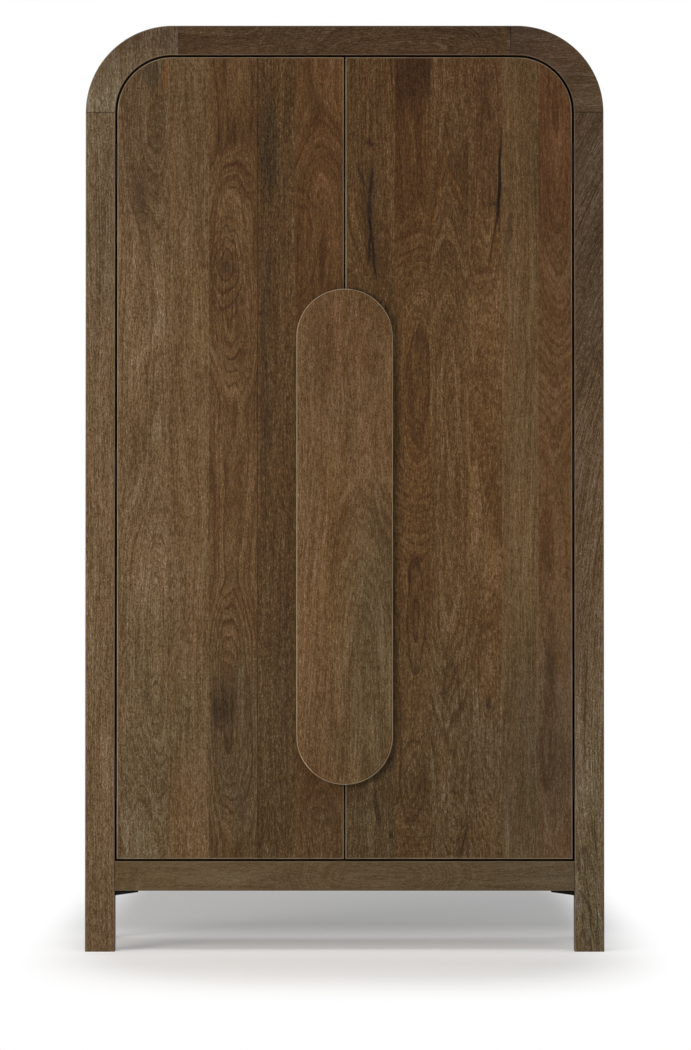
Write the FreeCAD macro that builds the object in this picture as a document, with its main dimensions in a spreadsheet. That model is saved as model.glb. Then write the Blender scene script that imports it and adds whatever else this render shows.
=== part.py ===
import FreeCAD, Part
import os
import re

import Sketcher

# Bar armoire of solid stained hardwood, in millimetres.
# It stands on the floor at z = 0, its front faces -Y, and X runs to the right seen from the front.
# The origin is the middle of its box on the floor, with the pull plate counted in the depth.

doc = FreeCAD.newDocument("bar_armoire")
sheet = doc.addObject("Spreadsheet::Sheet", "Sizes")

SIZES = {
    # Outer shape
    "overall_width": 965,
    "overall_height": 1724,
    "case_depth": 437,
    "corner_radius": 162,
    "leg_height": 113,
    "apron_height": 55,
    # Front and rear frames
    "frame_face": 55,
    "frame_depth": 45,
    "rear_face": 36,
    "rear_depth": 32,
    "corner_lap": 11,
    "edge_radius": 2.5,
    # Shell panels
    "shell_thickness": 20,
    "floor_thickness": 20,
    "back_thickness": 6,
    "back_screw_margin": 7,
    "back_screw_setback": 64,
    # Dowels across the seams of the frames
    "dowel_radius": 5,
    "dowel_length": 60,
    "apron_dowel_spacing": 18,
    "corner_dowel_spacing": 14,
    # Braces under the front apron
    "brace_length": 43,
    "brace_drop": 9,
    "brace_tip": 3,
    "brace_depth": 30,
    "brace_seat": 1.8,
    "brace_screw_setback": 30,
    # Doors
    "door_thickness": 22,
    "door_gap": 4,
    "meeting_gap": 3,
    "batten_width": 60,
    "batten_thickness": 18,
    "batten_inset": 65,
    "batten_rise": 95,
    "batten_drop": 260,
    # Pull plate
    "pull_width": 180,
    "pull_length": 922,
    "pull_thickness": 20,
    "pull_rise": 310,
    "pull_edge_radius": 4,
    "pull_relief": 1,
    "pull_screw_inset": 45,
    "pull_screw_pitch": 240,
    # Butt hinges
    "hinge_height": 76,
    "hinge_rise": 150,
    "hinge_drop": 200,
    "barrel_radius": 2.5,
    "barrel_air": 0.35,
    "pin_radius": 1.3,
    "pin_clearance": 0.05,
    "leaf_thickness": 1.6,
    "leaf_width": 16,
    "leaf_air": 0.3,
    "knuckle_play": 0.3,
    "leaf_screw_pitch": 26,
    "leaf_screw_setback": 10,
    # Flat-head screws: the slim ones hold hinges and strikes, the stout ones the wood
    "slim_radius": 1.4,
    "slim_head_radius": 2.8,
    "slim_head_height": 1.6,
    "slim_length": 16,
    "stout_radius": 2,
    "stout_head_radius": 4,
    "stout_head_height": 2.2,
    "screw_bite": 13,
    "hole_over": 1,
    # Fits in wood
    "wood_clearance": 0.1,
    # Magnetic catches
    "catch_width": 40,
    "catch_height": 14,
    "catch_length": 42,
    "catch_inset": 18,
    "catch_screw_pitch": 20,
    "catch_screw_setback": 31.5,
    "magnet_width": 30,
    "magnet_length": 4,
    "strike_width": 34,
    "strike_thickness": 1.6,
    "strike_screw_pitch": 20,
    "catch_air": 0.4,
    # Shelves and divider
    "shelf_thickness": 20,
    "serving_height": 880,
    "upper_drop": 384,
    "bay_height": 525,
    "divider_thickness": 20,
    "cleat_size": 18,
    "cleat_setback": 12,
    "cleat_screw_inset": 36,
    "shelf_play": 1,
    # Pins of the adjustable shelf
    "shelf_pin_radius": 2.5,
    "shelf_pin_depth": 9,
    "shelf_pin_reach": 9,
    "shelf_pin_pitch": 32,
    "shelf_pin_setback": 50,
    # Bottle grid
    "grid_thickness": 10,
    "grid_setback": 12,
    # Stemware rails
    "glass_pitch": 100,
    "glass_web_width": 12,
    "glass_web_height": 24,
    "glass_flange_width": 70,
    "glass_flange_thickness": 8,
    "glass_rail_length": 310,
    "glass_screw_inset": 45,
    # Holes through the rear top rail for screws into wall studs
    "stud_spacing": 406.4,
    "wall_hole_radius": 3,
    "wall_hole_drop": 8,
}

SIDES = {"left": -1, "right": 1}
HINGES = 3
KNUCKLES = 5
LEAF_SCREWS = 3
PULL_SCREWS = 4
BATTEN_SCREWS = 3
GRID_COLUMNS = 4
GRID_ROWS = 3
GLASS_RAILS = 7
PIN_ROWS = 5
BACK_POST_SCREWS = 5
BACK_RAIL_SCREWS = 4
QUARTER_TURN = 90
TOUCHING = 1e-4

# Places that several pieces share, each worked out from the sizes above.
PLACES = {
    "half_width": "overall_width / 2",
    "front": "(pull_thickness - case_depth) / 2",
    "rear": "front + case_depth",
    "frame_back": "front + frame_depth",
    "rear_front": "rear - rear_depth",
    "back_front": "rear_front - back_thickness",
    "post_inner": "half_width - frame_face",
    "rear_inner": "half_width - rear_face",
    "shell_inner": "half_width - shell_thickness",
    "shell_top": "overall_height - shell_thickness",
    "arc_x": "half_width - corner_radius",
    "arc_z": "overall_height - corner_radius",
    "rail_end": "arc_x - corner_lap",
    "rail_under": "overall_height - frame_face",
    "floor_top": "leg_height + apron_height",
    "floor_under": "floor_top - floor_thickness",
    "door_back": "front + door_thickness",
    "door_outer": "post_inner - door_gap",
    "door_inner": "meeting_gap / 2",
    "door_low": "floor_top + door_gap",
    "door_high": "rail_under - door_gap",
    "batten_back": "door_back + batten_thickness",
    "pull_end": "pull_width / 2",
    "pull_front": "front - pull_thickness",
    "hinge_x": "post_inner - door_gap / 2",
    "hinge_y": "front + barrel_radius",
    "leaf_front": "hinge_y + barrel_radius + leaf_air",
    "leaf_back": "hinge_y + leaf_width",
    "hinge_low": "door_low + hinge_rise",
    "hinge_high": "door_high - hinge_drop",
    "serving_under": "serving_height - shelf_thickness",
    "upper_height": "overall_height - upper_drop",
    "upper_under": "upper_height - shelf_thickness",
    "bay_under": "bay_height - shelf_thickness",
    "divider_face": "divider_thickness / 2",
    "bay_width": "shell_inner - divider_face",
    "pin_height": "bay_under - shelf_pin_radius",
    "pin_front": "frame_back + shelf_pin_setback",
    "pin_back": "back_front - shelf_pin_setback",
    "magnet_front": "door_back + strike_thickness + catch_air",
    "catch_front": "magnet_front + magnet_length",
    "catch_middle": "catch_inset + catch_width / 2",
    "catch_low": "serving_under - catch_height",
    "grid_front": "frame_back + grid_setback",
    "grid_middle": "(grid_front + back_front) / 2",
    "glass_web_under": "upper_under - glass_web_height",
    "glass_low": "glass_web_under - glass_flange_thickness",
    "glass_front": "(frame_back + back_front - glass_rail_length) / 2",
    "glass_back": "glass_front + glass_rail_length",
}

DIRECTIONS = {
    "+x": FreeCAD.Vector(1, 0, 0),
    "-x": FreeCAD.Vector(-1, 0, 0),
    "+y": FreeCAD.Vector(0, 1, 0),
    "-y": FreeCAD.Vector(0, -1, 0),
    "+z": FreeCAD.Vector(0, 0, 1),
    "-z": FreeCAD.Vector(0, 0, -1),
}

nodes = []


def fill_sheet():
    """Writes one size to each row of the sheet, with its name as the cell's alias."""
    for row, (name, size) in enumerate(SIZES.items(), start=1):
        sheet.set(f"A{row}", name)
        sheet.set(f"B{row}", str(size))
        sheet.setAlias(f"B{row}", name)
    doc.recompute()


def expand(text):
    """Turns an expression in names of sizes and places into one in cells of the sheet."""

    def swap(match):
        word = match.group(0)
        if word in PLACES:
            return f"({expand(PLACES[word])})"
        return f"Sizes.{word}" if word in SIZES else word

    return re.sub(r"[a-z]\w*", swap, text)


def number(text):
    return float(sheet.evalExpression(expand(text)))


def bind(piece, prop, text):
    piece.setExpression(prop, expand(text))


def node(label, piece):
    """Names a finished piece as one node of the assembly."""
    piece.Label = label
    nodes.append(piece)


def span(side, low, high):
    """A stretch of X given for the right side, mirrored for the left."""
    return (low, high) if side > 0 else (f"-({high})", f"-({low})")


def at(side, place):
    """A place on X given for the right side, mirrored for the left."""
    return place if side > 0 else f"-({place})"


def outward(side):
    return "+x" if side > 0 else "-x"


def inward(side):
    return "-x" if side > 0 else "+x"


def set_block(piece, x, y, z):
    """Stretches a box between two places on each axis."""
    for prop, axis, (low, high) in zip(("Length", "Width", "Height"), "xyz", (x, y, z)):
        bind(piece, prop, f"({high}) - ({low})")
        bind(piece, f"Placement.Base.{axis}", low)


def set_round(piece, radius, length, start, turn):
    """Sizes a cylinder and stands it at its start, turned from +Z."""
    piece.Placement = FreeCAD.Placement(FreeCAD.Vector(), turn)
    bind(piece, "Radius", radius)
    bind(piece, "Height", length)
    for axis, place in zip("xyz", start):
        bind(piece, f"Placement.Base.{axis}", place)


def turned(direction):
    return FreeCAD.Rotation(DIRECTIONS["+z"], DIRECTIONS[direction])


def block(label, x, y, z):
    piece = doc.addObject("Part::Box", label)
    set_block(piece, x, y, z)
    return piece


def rod(label, radius, length, start, direction):
    piece = doc.addObject("Part::Cylinder", label)
    set_round(piece, radius, length, start, turned(direction))
    return piece


def taper(label, wide, narrow, length, start, direction):
    """A cone from its wide end along one axis."""
    piece = doc.addObject("Part::Cone", label)
    piece.Placement = FreeCAD.Placement(FreeCAD.Vector(), turned(direction))
    bind(piece, "Radius1", wide)
    bind(piece, "Radius2", narrow)
    bind(piece, "Height", length)
    for axis, place in zip("xyz", start):
        bind(piece, f"Placement.Base.{axis}", place)
    return piece


def group(label, pieces):
    """Separate solids kept side by side in one object."""
    piece = doc.addObject("Part::Compound", label)
    piece.Links = pieces
    return piece


def joined(label, pieces):
    """Solids made into one."""
    piece = doc.addObject("Part::MultiFuse", label)
    piece.Shapes = pieces
    piece.Refine = True
    return piece


def less(label, blank, tools):
    """A blank with its tools cut away."""
    piece = doc.addObject("Part::Cut", label)
    piece.Base = blank
    piece.Tool = tools[0] if len(tools) == 1 else group(f"{label}_tools", tools)
    return piece


def screw(label, seat, direction, kind, length):
    """A flat-head screw, flush with its seat, and the countersunk hole that takes it."""
    radius = f"{kind}_radius"
    head = f"{kind}_head_radius"
    rise = f"{kind}_head_height"
    solids = [
        taper(f"{label}_head", head, radius, rise, seat, direction),
        rod(f"{label}_shank", radius, length, seat, direction),
    ]
    hole_radius = f"{radius} + wood_clearance"
    room = [
        taper(f"{label}_sink", f"{head} + wood_clearance", hole_radius, rise, seat, direction),
        rod(f"{label}_hole", hole_radius, f"{length} + hole_over", seat, direction),
    ]
    return joined(label, solids), joined(f"{label}_room", room)


def rounded(body, feature, chosen, radius):
    """Rounds the edges of a body's last feature that the test picks."""
    edges = enumerate(feature.Shape.Edges, start=1)
    names = [f"Edge{i}" for i, edge in edges if chosen(edge)]
    fillet = body.newObject("PartDesign::Fillet", f"{feature.Name}_round")
    fillet.Base = (feature, names)
    bind(fillet, "Radius", radius)
    doc.recompute()
    return fillet


def lies_at(edge, axis, place):
    """Whether a whole edge lies in one plane across an axis."""
    box = edge.BoundBox
    reach = (getattr(box, f"{axis}Min"), getattr(box, f"{axis}Max"))
    return all(abs(value - number(place)) < TOUCHING for value in reach)


def runs_along(edge, axis):
    """Whether an edge is a straight line along an axis."""
    box = edge.BoundBox
    others = [name for name in ("XLength", "YLength", "ZLength") if name[0] != axis]
    return all(getattr(box, name) < TOUCHING for name in others)


def eased_block(label, x, y, z, face, axis):
    """A board whose long edges at one face, given as a place on Y, are eased."""
    body = doc.addObject("PartDesign::Body", f"{label}_body")
    stock = body.newObject("PartDesign::AdditiveBox", f"{label}_stock")
    set_block(stock, x, y, z)
    doc.recompute()
    rounded(body, stock, lambda edge: lies_at(edge, "Y", face) and runs_along(edge, axis), "edge_radius")
    return body


def upper_quarter(side):
    """The turn that lays a quarter cylinder along Y, in the upper outer quadrant of one side."""
    axes = ("+z", "+x", "+y") if side > 0 else ("-x", "+z", "+y")
    return FreeCAD.Rotation(*[DIRECTIONS[name] for name in axes])


def rounded_corner(label, side, thickness, y, face):
    """A quarter ring with a short straight lap along the top, its curved edges eased at one face."""
    turn = upper_quarter(side)
    centre = (at(side, "arc_x"), y[0], "arc_z")
    depth = f"({y[1]}) - ({y[0]})"
    body = doc.addObject("PartDesign::Body", f"{label}_body")
    bend = body.newObject("PartDesign::AdditiveCylinder", f"{label}_bend")
    bend.Angle = QUARTER_TURN
    set_round(bend, "corner_radius", depth, centre, turn)
    lap = body.newObject("PartDesign::AdditiveBox", f"{label}_lap")
    set_block(lap, span(side, "rail_end", "arc_x"), y, ("arc_z", "overall_height"))
    hollow = body.newObject("PartDesign::SubtractiveCylinder", f"{label}_hollow")
    set_round(hollow, f"corner_radius - {thickness}", depth, centre, turn)
    under = body.newObject("PartDesign::SubtractiveBox", f"{label}_under")
    set_block(under, span(side, "rail_end", "arc_x"), y, ("arc_z", f"overall_height - {thickness}"))
    doc.recompute()

    def eased(edge):
        seam = lies_at(edge, "X", at(side, "rail_end")) or lies_at(edge, "Z", "arc_z")
        return lies_at(edge, "Y", face) and not seam

    rounded(body, under, eased, "edge_radius")
    return body


def shoulder(label, side, y):
    """A curved panel that carries the side up into the top."""
    centre = (at(side, "arc_x"), y[0], "arc_z")
    depth = f"({y[1]}) - ({y[0]})"
    outer = doc.addObject("Part::Cylinder", f"{label}_outer")
    outer.Angle = QUARTER_TURN
    set_round(outer, "corner_radius", depth, centre, upper_quarter(side))
    inner = rod(f"{label}_inner", "corner_radius - shell_thickness", depth, centre, "+y")
    return less(label, outer, [inner])


def about(middle, width):
    """The two ends of a stretch centred on a place."""
    return (f"({middle}) - ({width}) / 2", f"({middle}) + ({width}) / 2")


def spread(low, high, count):
    """Evenly spaced places from one end of a stretch to the other."""
    return [f"({low}) + (({high}) - ({low})) * {i} / {count - 1}" for i in range(count)]


def dowel(label, start, direction):
    """A dowel and the bore that takes it."""
    pin = rod(label, "dowel_radius", "dowel_length", start, direction)
    bore = rod(f"{label}_bore", "dowel_radius + wood_clearance", "dowel_length", start, direction)
    return pin, bore


def frame_dowels(frame, face, inner, y_middle):
    """Pairs of dowels across the seams of a frame, and their bores by seam."""
    pins = []
    bores = {}
    for name, side in SIDES.items():
        post_x = at(side, f"half_width - {face} / 2")
        rail_x, _ = span(side, "rail_end - dowel_length / 2", "rail_end + dowel_length / 2")
        apron_x, _ = span(side, f"{inner} - dowel_length / 2", f"{inner} + dowel_length / 2")
        places = [("apron", (apron_x, y_middle, z), "+x")
                  for z in about("leg_height + apron_height / 2", "apron_dowel_spacing")]
        for across in about(post_x, "corner_dowel_spacing"):
            places.append(("post", (across, y_middle, "arc_z - dowel_length / 2"), "+z"))
        for z in about(f"overall_height - {face} / 2", "corner_dowel_spacing"):
            places.append(("rail", (rail_x, y_middle, z), "+x"))
        for seam, start, direction in places:
            pin, bore = dowel(f"{frame}_{name}_{seam}_dowel", start, direction)
            pins.append(pin)
            bores.setdefault((name, seam), []).append(bore)
    return pins, bores


def frame(name, face, y, shown, inner, extra_cuts):
    """Two posts down to the floor, two rounded corners, a top rail and an apron; gives their dowels."""
    pins, bores = frame_dowels(name, face, inner, f"(({y[0]}) + ({y[1]})) / 2")
    for hand, side in SIDES.items():
        label = f"{hand}_{name}_post"
        post = eased_block(label, span(side, inner, "half_width"), y, ("0", "arc_z"), shown, "Z")
        cuts = bores[hand, "post"] + bores[hand, "apron"] + extra_cuts.get(label, [])
        node(label, less(label, post, cuts))
        label = f"{hand}_{name}_corner"
        corner = rounded_corner(label, side, face, y, shown)
        node(label, less(label, corner, bores[hand, "post"] + bores[hand, "rail"]))
    ends = ("-(rail_end)", "rail_end")
    rail_z = (f"overall_height - {face}", "overall_height")
    rail = eased_block(f"{name}_top_rail", ends, y, rail_z, shown, "X")
    cuts = bores["left", "rail"] + bores["right", "rail"] + extra_cuts.get(f"{name}_top_rail", [])
    node(f"{name}_top_rail", less(f"{name}_top_rail", rail, cuts))
    apron = eased_block(f"{name}_apron", (f"-({inner})", inner), y, ("leg_height", "floor_top"), shown, "X")
    cuts = bores["left", "apron"] + bores["right", "apron"] + extra_cuts.get(f"{name}_apron", [])
    node(f"{name}_apron", less(f"{name}_apron", apron, cuts))
    return pins


def leg_braces():
    """Black tapered braces under the apron, one against each front post, and the cuts for their screws."""
    y_front = "front + (frame_depth - brace_depth) / 2"
    y_middle = "front + frame_depth / 2"
    screws = []
    cuts = []
    for hand, side in SIDES.items():
        label = f"{hand}_leg_brace"
        root = at(side, "post_inner")
        tip = at(side, "post_inner - brace_length")
        corners = [
            (root, "leg_height"),
            (tip, "leg_height"),
            (tip, "leg_height - brace_tip"),
            (root, "leg_height - brace_drop"),
        ]
        body = front_plate(label, corners, y_front, "brace_depth")
        seat = (at(side, "post_inner - brace_screw_setback"), y_middle, "leg_height - brace_seat")
        fixing, room = screw(f"{hand}_brace_screw", seat, "+z", "stout", "brace_seat + screw_bite")
        sink = rod(f"{label}_sink", "stout_head_radius + wood_clearance", "brace_drop", seat, "-z")
        node(label, less(label, body, [room, sink]))
        screws.append(fixing)
        cuts.append(room)
    node("leg_brace_screws", group("leg_brace_screws", screws))
    return cuts


def front_plate(label, corners, y, depth):
    """A plate padded backwards from an outline of straight lines in the XZ plane."""
    body = doc.addObject("PartDesign::Body", f"{label}_body")
    sketch = body.newObject("Sketcher::SketchObject", f"{label}_outline")
    plane = next(item for item in body.Origin.OriginFeatures if item.Role == "XZ_Plane")
    sketch.AttachmentSupport = (plane, [""])
    sketch.MapMode = "FlatFace"
    bind(sketch, "AttachmentOffset.Base.z", f"-({y})")
    points = [FreeCAD.Vector(number(x), number(z), 0) for x, z in corners]
    following = points[1:] + points[:1]
    for start, end in zip(points, following):
        sketch.addGeometry(Part.LineSegment(start, end))
    for line, (x, z) in enumerate(corners):
        after = (line + 1) % len(corners)
        sketch.addConstraint(Sketcher.Constraint("Coincident", line, 2, after, 1))
        for kind, place in (("DistanceX", x), ("DistanceY", z)):
            tie = sketch.addConstraint(Sketcher.Constraint(kind, -1, 1, line, 1, number(place)))
            bind(sketch, f"Constraints[{tie}]", place)
    pad = body.newObject("PartDesign::Pad", f"{label}_pad")
    pad.Profile = sketch
    pad.Reversed = True
    bind(pad, "Length", depth)
    doc.recompute()
    return body


def shell(cleat_cuts, pin_holes):
    """Side panels, curved shoulders and top between the two frames, flush with their outside."""
    y = ("frame_back", "rear_front")
    for hand, side in SIDES.items():
        label = f"{hand}_side_panel"
        panel = block(f"{label}_blank", span(side, "shell_inner", "half_width"), y, ("leg_height", "arc_z"))
        cuts = [cleat_cuts[hand]]
        if hand == "right":
            cuts += pin_holes["right"]
        node(label, less(label, panel, cuts))
        node(f"{hand}_shoulder_panel", shoulder(f"{hand}_shoulder_panel", side, y))
    node("top_panel", block("top_panel", ("-(arc_x)", "arc_x"), y, ("shell_top", "overall_height")))


def case_floor():
    """The floor of the case, behind the front apron."""
    x = ("-(shell_inner)", "shell_inner")
    node("floor_panel", block("floor_panel", x, ("frame_back", "back_front"), ("floor_under", "floor_top")))


def back_panel():
    """A thin panel inside the shell, screwed to the front of the rear frame."""
    body = doc.addObject("PartDesign::Body", "back_panel_body")
    stock = body.newObject("PartDesign::AdditiveBox", "back_panel_stock")
    x = ("-(shell_inner)", "shell_inner")
    set_block(stock, x, ("back_front", "rear_front"), ("floor_under", "shell_top"))
    doc.recompute()

    def upper_corner(edge):
        return runs_along(edge, "Y") and lies_at(edge, "Z", "shell_top")

    rounded(body, stock, upper_corner, "corner_radius - shell_thickness")
    post_x = "shell_inner - back_screw_margin"
    ups = spread("floor_top + back_screw_setback", "arc_z - back_screw_setback", BACK_POST_SCREWS)
    rail_x = "arc_x - back_screw_setback"
    acrosses = spread(f"-({rail_x})", rail_x, BACK_RAIL_SCREWS)
    seats = {
        "left_rear_post": [(f"-({post_x})", z) for z in ups],
        "right_rear_post": [(post_x, z) for z in ups],
        "rear_apron": [(x, "floor_under + back_screw_margin") for x in acrosses],
        "rear_top_rail": [(x, "shell_top - back_screw_margin") for x in acrosses],
    }
    length = "back_thickness + screw_bite"
    screws = []
    rooms = {}
    for holder, places in seats.items():
        rooms[holder] = []
        for x, z in places:
            fixing, room = screw("back_screw", (x, "back_front", z), "+y", "stout", length)
            screws.append(fixing)
            rooms[holder].append(room)
    wall_holes = [rod("wall_hole", "wall_hole_radius", "back_thickness + rear_depth",
                      (x, "back_front", "shell_top - wall_hole_drop"), "+y")
                  for x in ("-(stud_spacing) / 2", "stud_spacing / 2")]
    rooms["rear_top_rail"] += wall_holes
    node("back_panel", less("back_panel", body, sum(rooms.values(), [])))
    node("back_panel_screws", group("back_panel_screws", screws))
    return rooms


def cleats():
    """Strips along both sides that carry the floor, the bay shelf and the two long shelves."""
    y = ("frame_back + cleat_setback", "back_front - cleat_setback")
    unders = {"left": ["floor_under", "bay_under", "serving_under", "upper_under"],
              "right": ["floor_under", "serving_under", "upper_under"]}
    length = "cleat_size + screw_bite"
    strips = []
    screws = []
    cuts = {}
    for hand, side in SIDES.items():
        rooms = []
        for under in unders[hand]:
            z_middle = f"{under} - cleat_size / 2"
            x = span(side, "shell_inner - cleat_size", "shell_inner")
            strip = block(f"{hand}_cleat_blank", x, y, (f"{under} - cleat_size", under))
            own = []
            for y_screw in (f"{y[0]} + cleat_screw_inset", f"{y[1]} - cleat_screw_inset"):
                seat = (at(side, "shell_inner - cleat_size"), y_screw, z_middle)
                fixing, room = screw(f"{hand}_cleat_screw", seat, outward(side), "stout", length)
                screws.append(fixing)
                own.append(room)
            strips.append(less(f"{hand}_cleat", strip, own))
            rooms += own
        cuts[hand] = group(f"{hand}_cleat_cuts", rooms)
    node("shelf_cleats", group("shelf_cleats", strips))
    node("cleat_screws", group("cleat_screws", screws))
    return cuts


def shelf_pin_holes():
    """Rows of holes for the pins of the adjustable shelf, in the divider and the right side."""
    holes = {"divider": [], "right": []}
    walls = {"divider": ("divider_face", "-x"), "right": ("shell_inner", "+x")}
    middle = (PIN_ROWS - 1) / 2
    for wall, (face, direction) in walls.items():
        for y in ("pin_front", "pin_back"):
            for row in range(PIN_ROWS):
                z = f"pin_height + shelf_pin_pitch * {row - middle}"
                holes[wall].append(rod(f"{wall}_pin_hole", "shelf_pin_radius + wood_clearance",
                                       "shelf_pin_depth", (face, y, z), direction))
    return holes


def shelves(pin_holes, catch_rooms, glass_rooms):
    """The fixed shelves, the divider under the serving shelf, and the shelf that rests on pins."""
    x = ("-(shell_inner)", "shell_inner")
    y = ("frame_back", "back_front")
    serving = block("serving_shelf_blank", x, y, ("serving_under", "serving_height"))
    node("serving_shelf", less("serving_shelf", serving, catch_rooms))
    upper = block("upper_shelf_blank", x, y, ("upper_under", "upper_height"))
    node("upper_shelf", less("upper_shelf", upper, glass_rooms))
    divider = block("divider_blank", ("-(divider_face)", "divider_face"), y, ("floor_top", "serving_under"))
    node("divider", less("divider", divider, pin_holes["divider"]))
    bay_z = ("bay_under", "bay_height")
    node("bay_shelf", block("bay_shelf", ("-(shell_inner)", "-(divider_face)"), y, bay_z))
    loose_x = ("divider_face + shelf_play", "shell_inner - shelf_play")
    loose_y = ("frame_back + shelf_play", "back_front - shelf_play")
    node("adjustable_shelf", block("adjustable_shelf", loose_x, loose_y, bay_z))
    length = "shelf_pin_depth + shelf_pin_reach"
    pins = []
    for y_pin in ("pin_front", "pin_back"):
        pins.append(rod("inner_pin", "shelf_pin_radius", length,
                        ("divider_face - shelf_pin_depth", y_pin, "pin_height"), "+x"))
        pins.append(rod("outer_pin", "shelf_pin_radius", length,
                        ("shell_inner - shelf_pin_reach", y_pin, "pin_height"), "+x"))
    node("shelf_pins", group("shelf_pins", pins))


def bottle_grid():
    """Thin boards half-lapped into each other, which hold bottles in the lower left bay."""
    x = ("-(shell_inner)", "-(divider_face)")
    z = ("floor_top", "bay_under")
    columns = [f"{x[0]} + bay_width * {i} / {GRID_COLUMNS}" for i in range(1, GRID_COLUMNS)]
    rows = [f"{z[0]} + ({z[1]} - {z[0]}) * {i} / {GRID_ROWS}" for i in range(1, GRID_ROWS)]
    slot = "grid_thickness + 2 * wood_clearance"
    whole = ("grid_front", "back_front")
    front_half = ("grid_front", "grid_middle")
    back_half = ("grid_middle", "back_front")
    uprights = []
    for column in columns:
        across = about(column, "grid_thickness")
        board = block("grid_upright_blank", across, whole, z)
        slots = [block("upright_slot", across, front_half, about(row, slot)) for row in rows]
        uprights.append(less("grid_upright", board, slots))
    node("bottle_grid_uprights", group("bottle_grid_uprights", uprights))
    levels = []
    for row in rows:
        up = about(row, "grid_thickness")
        board = block("grid_level_blank", x, whole, up)
        slots = [block("level_slot", about(column, slot), back_half, up) for column in columns]
        levels.append(less("grid_level", board, slots))
    node("bottle_grid_levels", group("bottle_grid_levels", levels))


def stemware_rails():
    """Strips under the upper shelf whose flanges hold the feet of hanging glasses."""
    y = ("glass_front", "glass_back")
    webs = []
    flanges = []
    screws = []
    rooms = []
    middle = (GLASS_RAILS - 1) / 2
    for rail in range(GLASS_RAILS):
        x = f"glass_pitch * {rail - middle}"
        own = []
        for y_screw in ("glass_front + glass_screw_inset", "glass_back - glass_screw_inset"):
            length = "glass_flange_thickness + glass_web_height + screw_bite"
            fixing, room = screw("glass_screw", (x, y_screw, "glass_low"), "+z", "stout", length)
            screws.append(fixing)
            own.append(room)
        web = block("glass_web_blank", about(x, "glass_web_width"), y, ("glass_web_under", "upper_under"))
        webs.append(less("glass_web", web, own))
        flange_x = about(x, "glass_flange_width")
        flange = block("glass_flange_blank", flange_x, y, ("glass_low", "glass_web_under"))
        flanges.append(less("glass_flange", flange, own))
        rooms += own
    node("stemware_webs", group("stemware_webs", webs))
    node("stemware_flanges", group("stemware_flanges", flanges))
    node("stemware_screws", group("stemware_screws", screws))
    return rooms


def catches():
    """Magnetic catches under the serving shelf, one behind the free edge of each door."""
    housings = []
    magnets = []
    screws = []
    rooms = []
    z = ("catch_low", "serving_under")
    for hand, side in SIDES.items():
        x = span(side, "catch_inset", "catch_inset + catch_width")
        housing = block(f"{hand}_catch_blank", x, ("catch_front", "catch_front + catch_length"), z)
        own = []
        for x_screw in about(at(side, "catch_middle"), "catch_screw_pitch"):
            seat = (x_screw, "catch_front + catch_screw_setback", "catch_low")
            fixing, room = screw(f"{hand}_catch_screw", seat, "+z", "stout", "catch_height + screw_bite")
            screws.append(fixing)
            own.append(room)
        housings.append(less(f"{hand}_catch", housing, own))
        rooms += own
        face = about(at(side, "catch_middle"), "magnet_width")
        magnets.append(block(f"{hand}_magnet", face, ("magnet_front", "catch_front"), z))
    node("catch_housings", group("catch_housings", housings))
    node("catch_magnets", group("catch_magnets", magnets))
    node("catch_screws", group("catch_screws", screws))
    return rooms


def leaf(label, side, turns_outward, z_middle, knuckles):
    """One leaf of a butt hinge: a plate let into the wood, with its own knuckles round the pin."""
    low, high = about(z_middle, "hinge_height")
    if turns_outward:
        plate_x = ("post_inner", "post_inner + leaf_thickness")
        web_x = ("hinge_x + pin_radius", "post_inner + leaf_thickness")
        face = "post_inner"
        drive = outward(side)
    else:
        plate_x = ("door_outer - leaf_thickness", "door_outer")
        web_x = ("door_outer - leaf_thickness", "hinge_x - pin_radius")
        face = "door_outer"
        drive = inward(side)
    solids = [block(f"{label}_plate", span(side, *plate_x), ("leaf_front", "leaf_back"), (low, high))]
    axis = at(side, "hinge_x")
    for knuckle in knuckles:
        foot = f"{low} + hinge_height * {knuckle} / {KNUCKLES} + knuckle_play / 2"
        length = f"hinge_height / {KNUCKLES} - knuckle_play"
        solids.append(rod(f"{label}_knuckle", "barrel_radius", length, (axis, "hinge_y", foot), "+z"))
        web_z = (foot, f"{foot} + {length}")
        solids.append(block(f"{label}_web", span(side, *web_x), ("hinge_y", "leaf_front"), web_z))
    bore = rod(f"{label}_bore", "pin_radius + pin_clearance", "hinge_height", (axis, "hinge_y", low), "+z")
    cuts = [bore]
    screws = []
    for z in spread(f"{z_middle} - leaf_screw_pitch", f"{z_middle} + leaf_screw_pitch", LEAF_SCREWS):
        seat = (at(side, face), "hinge_y + leaf_screw_setback", z)
        fixing, room = screw(f"{label}_screw", seat, drive, "slim", "slim_length")
        screws.append(fixing)
        cuts.append(room)
    recess_y = ("hinge_y - wood_clearance", "leaf_back + wood_clearance")
    recess_z = (f"{low} - wood_clearance", f"{high} + wood_clearance")
    recess = block(f"{label}_recess", span(side, *plate_x), recess_y, recess_z)
    groove = rod(f"{label}_groove", "barrel_radius + barrel_air", "hinge_height + 2 * barrel_air",
                 (axis, "hinge_y", f"{low} - barrel_air"), "+z")
    plate = less(label, joined(f"{label}_blank", solids), cuts)
    return plate, screws, [recess, groove] + cuts[1:]


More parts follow.
